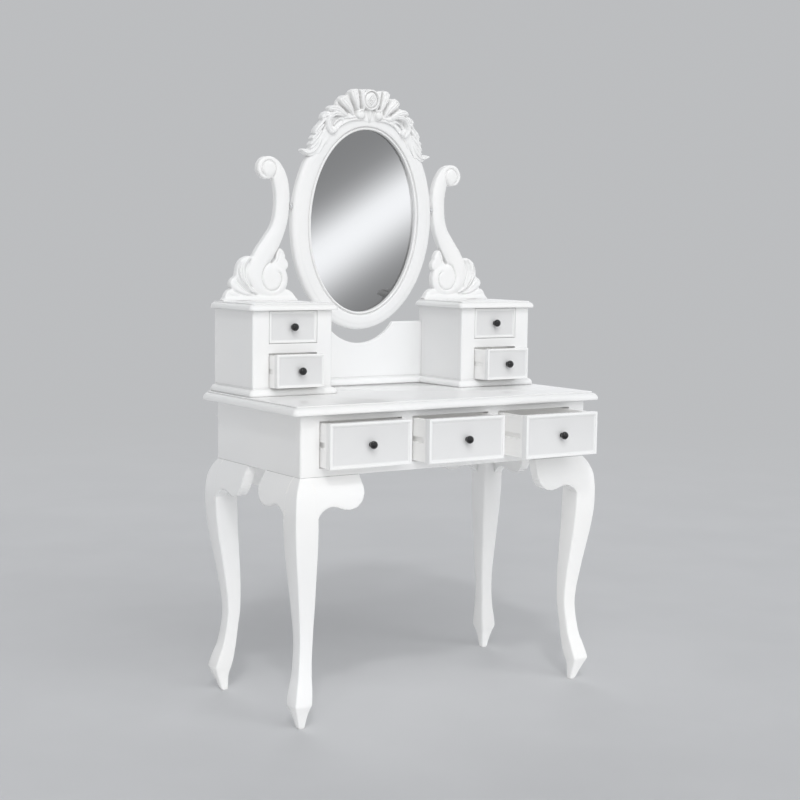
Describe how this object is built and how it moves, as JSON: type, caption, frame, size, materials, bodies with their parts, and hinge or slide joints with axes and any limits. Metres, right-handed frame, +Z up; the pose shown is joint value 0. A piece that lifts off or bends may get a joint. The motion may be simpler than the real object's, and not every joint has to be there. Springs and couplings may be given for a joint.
{
  "type": "dressing table with mirror",
  "caption": "White dressing table on cabriole legs with table drawers, two small drawer towers and a tilting oval mirror with a carved crest between scroll arms.",
  "frame": {"origin": "centre of the bounding box on the floor, under the feet", "axes": "+Z up, -Y towards the person who sits at the table, +X to the right seen from the front"},
  "size_m": [0.9, 0.5613, 1.5129],
  "materials": {
    "white_lacquer": "glossy white sprayed lacquer over wood, soft eased edges",
    "drawer_lining": "satin white paint on drawer boxes and hidden rails",
    "black_knob": "gloss black enamel on a turned ball knob",
    "silvered_glass": "silvered flat glass",
    "fibre_board": "raw hardboard",
    "zinc_pivot": "zinc-plated pin and washer"
  },
  "bodies": {
    "carcass": {"back_panel": "white_lacquer", "face_frame": "white_lacquer", "hutch_back": "white_lacquer", "knee_bracket_back_left": "white_lacquer", "knee_bracket_back_right": "white_lacquer", "knee_bracket_front_left": "white_lacquer", "knee_bracket_front_right": "white_lacquer", "knee_bracket_side_back_left": "white_lacquer", "knee_bracket_side_back_right": "white_lacquer", "knee_bracket_side_front_left": "white_lacquer", "knee_bracket_side_front_right": "white_lacquer", "leg_back_left": "white_lacquer", "leg_back_right": "white_lacquer", "leg_front_left": "white_lacquer", "leg_front_right": "white_lacquer", "mirror_arm_left": "white_lacquer", "mirror_arm_right": "white_lacquer", "mirror_pivot_left": "zinc_pivot", "mirror_pivot_right": "zinc_pivot", "partition_left": "drawer_lining", "partition_right": "drawer_lining", "plinth": "white_lacquer", "side_panel_left": "white_lacquer", "side_panel_right": "white_lacquer", "table_top": "white_lacquer", "tower_frame_left": "white_lacquer", "tower_frame_right": "white_lacquer", "tower_inner_side_left": "white_lacquer", "tower_inner_side_right": "white_lacquer", "tower_outer_side_left": "white_lacquer", "tower_outer_side_right": "white_lacquer", "tower_shelf_left": "drawer_lining", "tower_shelf_right": "drawer_lining", "tower_top_left": "white_lacquer", "tower_top_right": "white_lacquer"},
    "drawer_left": {"drawer_left_front": "white_lacquer", "drawer_left_box": "drawer_lining", "drawer_left_knob": "black_knob"},
    "drawer_centre": {"drawer_centre_front": "white_lacquer", "drawer_centre_box": "drawer_lining", "drawer_centre_knob": "black_knob"},
    "drawer_right": {"drawer_right_front": "white_lacquer", "drawer_right_box": "drawer_lining", "drawer_right_knob": "black_knob"},
    "tower_drawer_upper_left": {"tower_drawer_upper_left_front": "white_lacquer", "tower_drawer_upper_left_box": "drawer_lining", "tower_drawer_upper_left_knob": "black_knob"},
    "tower_drawer_lower_left": {"tower_drawer_lower_left_front": "white_lacquer", "tower_drawer_lower_left_box": "drawer_lining", "tower_drawer_lower_left_knob": "black_knob"},
    "tower_drawer_upper_right": {"tower_drawer_upper_right_front": "white_lacquer", "tower_drawer_upper_right_box": "drawer_lining", "tower_drawer_upper_right_knob": "black_knob"},
    "tower_drawer_lower_right": {"tower_drawer_lower_right_front": "white_lacquer", "tower_drawer_lower_right_box": "drawer_lining", "tower_drawer_lower_right_knob": "black_knob"},
    "mirror": {"mirror_frame": "white_lacquer", "mirror_crest": "white_lacquer", "mirror_glass": "silvered_glass", "mirror_backing": "fibre_board"}
  },
  "joints": [
    {"name": "drawer_left_slide", "type": "slide", "parent": "carcass", "child": "drawer_left", "axis": [0, -1, 0], "range_m": [-0.045, 0.215]},
    {"name": "drawer_centre_slide", "type": "slide", "parent": "carcass", "child": "drawer_centre", "axis": [0, -1, 0], "range_m": [-0.069, 0.191]},
    {"name": "drawer_right_slide", "type": "slide", "parent": "carcass", "child": "drawer_right", "axis": [0, -1, 0], "range_m": [-0.111, 0.149]},
    {"name": "tower_drawer_upper_left_slide", "type": "slide", "parent": "carcass", "child": "tower_drawer_upper_left", "axis": [0, -1, 0], "range_m": [0, 0.1]},
    {"name": "tower_drawer_lower_left_slide", "type": "slide", "parent": "carcass", "child": "tower_drawer_lower_left", "axis": [0, -1, 0], "range_m": [-0.039, 0.061]},
    {"name": "tower_drawer_upper_right_slide", "type": "slide", "parent": "carcass", "child": "tower_drawer_upper_right", "axis": [0, -1, 0], "range_m": [0, 0.1]},
    {"name": "tower_drawer_lower_right_slide", "type": "slide", "parent": "carcass", "child": "tower_drawer_lower_right", "axis": [0, -1, 0], "range_m": [-0.058, 0.042]},
    {"name": "mirror_tilt", "type": "hinge", "parent": "carcass", "child": "mirror", "pos_m": [0, 0.2575, 1.209], "axis": [1, 0, 0], "range_deg": [-23.4, 16.6]}
  ]
}
